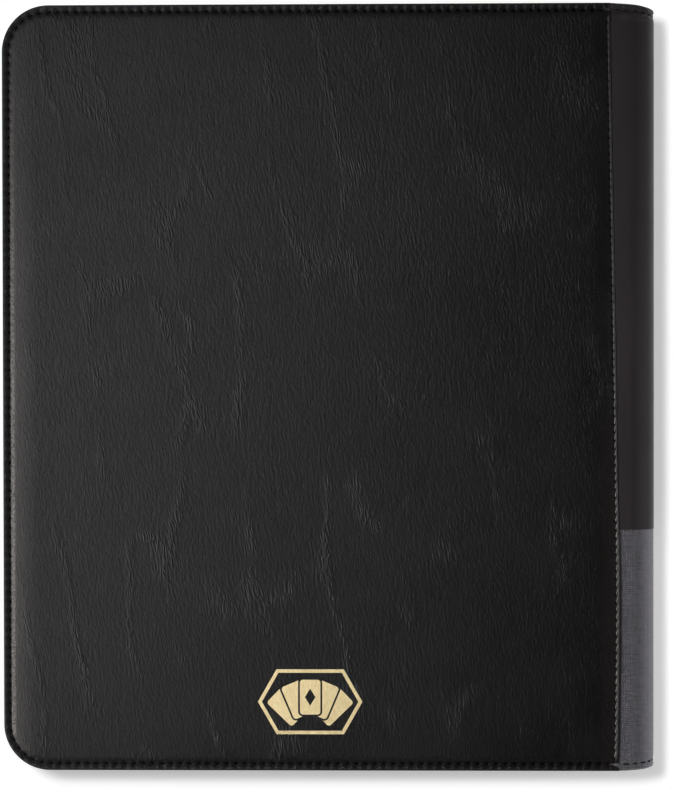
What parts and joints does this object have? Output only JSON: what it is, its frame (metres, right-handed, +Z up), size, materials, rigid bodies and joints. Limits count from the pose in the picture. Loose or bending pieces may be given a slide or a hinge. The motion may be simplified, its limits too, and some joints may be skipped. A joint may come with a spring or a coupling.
{
  "type": "trading card binder",
  "caption": "Padded black artificial leather binder with ring-held pocket pages for trading cards, rounded spine and grey woven spine panel.",
  "frame": {"origin": "centre of the front cover's outer face, which the closed binder lies on", "axes": "+X towards the spine, +Y towards the head of the spine, +Z up from the front cover to the back cover"},
  "size_m": [0.281, 0.33, 0.05],
  "materials": {
    "leather": "satin",
    "spine_skin": "satin",
    "woven": "matte",
    "foam": "matte",
    "board": "matte",
    "lining": "matte",
    "foil": "gloss",
    "nickel": "polished",
    "steel": "satin",
    "page": "satin"
  },
  "bodies": {
    "front_cover": {"front_cover_leather": "leather", "front_cover_foam": "foam", "front_cover_board": "board", "front_cover_lining": "lining", "spine_leather_front_fold": "spine_skin", "spine_panel_front_fold": "woven", "front_hinge_foam": "foam", "front_hinge_lining": "lining"},
    "spine": {"spine_leather": "spine_skin", "spine_panel": "woven", "spine_board": "board", "spine_lining": "lining", "ring_housing": "nickel", "housing_rivets": "nickel", "lever_pins": "steel"},
    "back_cover": {"back_cover_leather": "leather", "back_cover_foam": "foam", "back_cover_board": "board", "back_cover_lining": "lining", "back_cover_emblem": "foil", "spine_leather_back_fold": "spine_skin", "spine_panel_back_fold": "woven", "back_hinge_foam": "foam", "back_hinge_lining": "lining"},
    "back_ring_halves": {"blade_back": "steel", "ring_back_foot": "nickel", "ring_back_middle": "nickel", "ring_back_head": "nickel"},
    "front_ring_halves": {"blade_front": "steel", "ring_front_foot": "nickel", "ring_front_middle": "nickel", "ring_front_head": "nickel"},
    "head_lever": {"lever_head": "nickel"},
    "foot_lever": {"lever_foot": "nickel"},
    "leaf_01": {"page_01": "page"},
    "leaf_02": {"page_02": "page"},
    "leaf_03": {"page_03": "page"},
    "leaf_04": {"page_04": "page"},
    "leaf_05": {"page_05": "page"},
    "leaf_06": {"page_06": "page"},
    "leaf_07": {"page_07": "page"},
    "leaf_08": {"page_08": "page"},
    "leaf_09": {"page_09": "page"},
    "leaf_10": {"page_10": "page"},
    "leaf_11": {"page_11": "page"},
    "leaf_12": {"page_12": "page"}
  },
  "joints": [
    {"name": "spine_hinge", "type": "hinge", "parent": "front_cover", "child": "spine", "pos_m": [0.1381, 0, 0.0024], "axis": [0, 1, 0], "range_deg": [0, 90], "deforming": ["spine_leather_front_fold", "spine_panel_front_fold", "front_hinge_foam", "front_hinge_lining"]},
    {"name": "back_cover_hinge", "type": "hinge", "parent": "spine", "child": "back_cover", "pos_m": [0.1381, 0, 0.0476], "axis": [0, 1, 0], "range_deg": [0, 90], "deforming": ["spine_leather_back_fold", "spine_panel_back_fold", "back_hinge_foam", "back_hinge_lining"]},
    {"name": "ring_opening", "type": "hinge", "parent": "spine", "child": "back_ring_halves", "pos_m": [0.133, 0, 0.0342], "axis": [0, 1, 0], "range_deg": [0, 10]},
    {"name": "front_ring_opening", "type": "hinge", "parent": "spine", "child": "front_ring_halves", "pos_m": [0.133, 0, 0.0158], "axis": [0, -1, 0], "range_deg": [0, 10]},
    {"name": "head_lever_press", "type": "hinge", "parent": "spine", "child": "head_lever", "pos_m": [0.1333, 0.1365, 0.025], "axis": [0, 0, -1], "range_deg": [0, 30]},
    {"name": "foot_lever_press", "type": "hinge", "parent": "spine", "child": "foot_lever", "pos_m": [0.1333, -0.1365, 0.025], "axis": [0, 0, 1], "range_deg": [0, 30]},
    {"name": "leaf_01_turn", "type": "hinge", "parent": "spine", "child": "leaf_01", "pos_m": [0.1205, 0, 0.025], "axis": [0, 1, 0], "range_deg": [-89, 0]},
    {"name": "leaf_02_turn", "type": "hinge", "parent": "spine", "child": "leaf_02", "pos_m": [0.1205, 0, 0.025], "axis": [0, 1, 0], "range_deg": [-89, 0]},
    {"name": "leaf_03_turn", "type": "hinge", "parent": "spine", "child": "leaf_03", "pos_m": [0.1205, 0, 0.025], "axis": [0, 1, 0], "range_deg": [-89, 0]},
    {"name": "leaf_04_turn", "type": "hinge", "parent": "spine", "child": "leaf_04", "pos_m": [0.1205, 0, 0.025], "axis": [0, 1, 0], "range_deg": [-89, 0]},
    {"name": "leaf_05_turn", "type": "hinge", "parent": "spine", "child": "leaf_05", "pos_m": [0.1205, 0, 0.025], "axis": [0, 1, 0], "range_deg": [-89, 0]},
    {"name": "leaf_06_turn", "type": "hinge", "parent": "spine", "child": "leaf_06", "pos_m": [0.1205, 0, 0.025], "axis": [0, 1, 0], "range_deg": [-89, 0]},
    {"name": "leaf_07_turn", "type": "hinge", "parent": "spine", "child": "leaf_07", "pos_m": [0.1205, 0, 0.025], "axis": [0, 1, 0], "range_deg": [0, 89]},
    {"name": "leaf_08_turn", "type": "hinge", "parent": "spine", "child": "leaf_08", "pos_m": [0.1205, 0, 0.025], "axis": [0, 1, 0], "range_deg": [0, 89]},
    {"name": "leaf_09_turn", "type": "hinge", "parent": "spine", "child": "leaf_09", "pos_m": [0.1205, 0, 0.025], "axis": [0, 1, 0], "range_deg": [0, 89]},
    {"name": "leaf_10_turn", "type": "hinge", "parent": "spine", "child": "leaf_10", "pos_m": [0.1205, 0, 0.025], "axis": [0, 1, 0], "range_deg": [0, 89]},
    {"name": "leaf_11_turn", "type": "hinge", "parent": "spine", "child": "leaf_11", "pos_m": [0.1205, 0, 0.025], "axis": [0, 1, 0], "range_deg": [0, 89]},
    {"name": "leaf_12_turn", "type": "hinge", "parent": "spine", "child": "leaf_12", "pos_m": [0.1205, 0, 0.025], "axis": [0, 1, 0], "range_deg": [0, 89]}
  ],
  "couplings": [
    {"joint": "front_ring_opening", "follows": "ring_opening", "ratio": 1},
    {"joint": "head_lever_press", "follows": "ring_opening", "ratio": 3},
    {"joint": "foot_lever_press", "follows": "ring_opening", "ratio": 3},
    {"joint": "leaf_01_turn", "follows": "spine_hinge", "ratio": -0.988},
    {"joint": "leaf_02_turn", "follows": "spine_hinge", "ratio": -0.988},
    {"joint": "leaf_03_turn", "follows": "spine_hinge", "ratio": -0.988},
    {"joint": "leaf_04_turn", "follows": "spine_hinge", "ratio": -0.988},
    {"joint": "leaf_05_turn", "follows": "spine_hinge", "ratio": -0.988},
    {"joint": "leaf_06_turn", "follows": "spine_hinge", "ratio": -0.988},
    {"joint": "leaf_07_turn", "follows": "back_cover_hinge", "ratio": 0.988},
    {"joint": "leaf_08_turn", "follows": "back_cover_hinge", "ratio": 0.988},
    {"joint": "leaf_09_turn", "follows": "back_cover_hinge", "ratio": 0.988},
    {"joint": "leaf_10_turn", "follows": "back_cover_hinge", "ratio": 0.988},
    {"joint": "leaf_11_turn", "follows": "back_cover_hinge", "ratio": 0.988},
    {"joint": "leaf_12_turn", "follows": "back_cover_hinge", "ratio": 0.988}
  ]
}
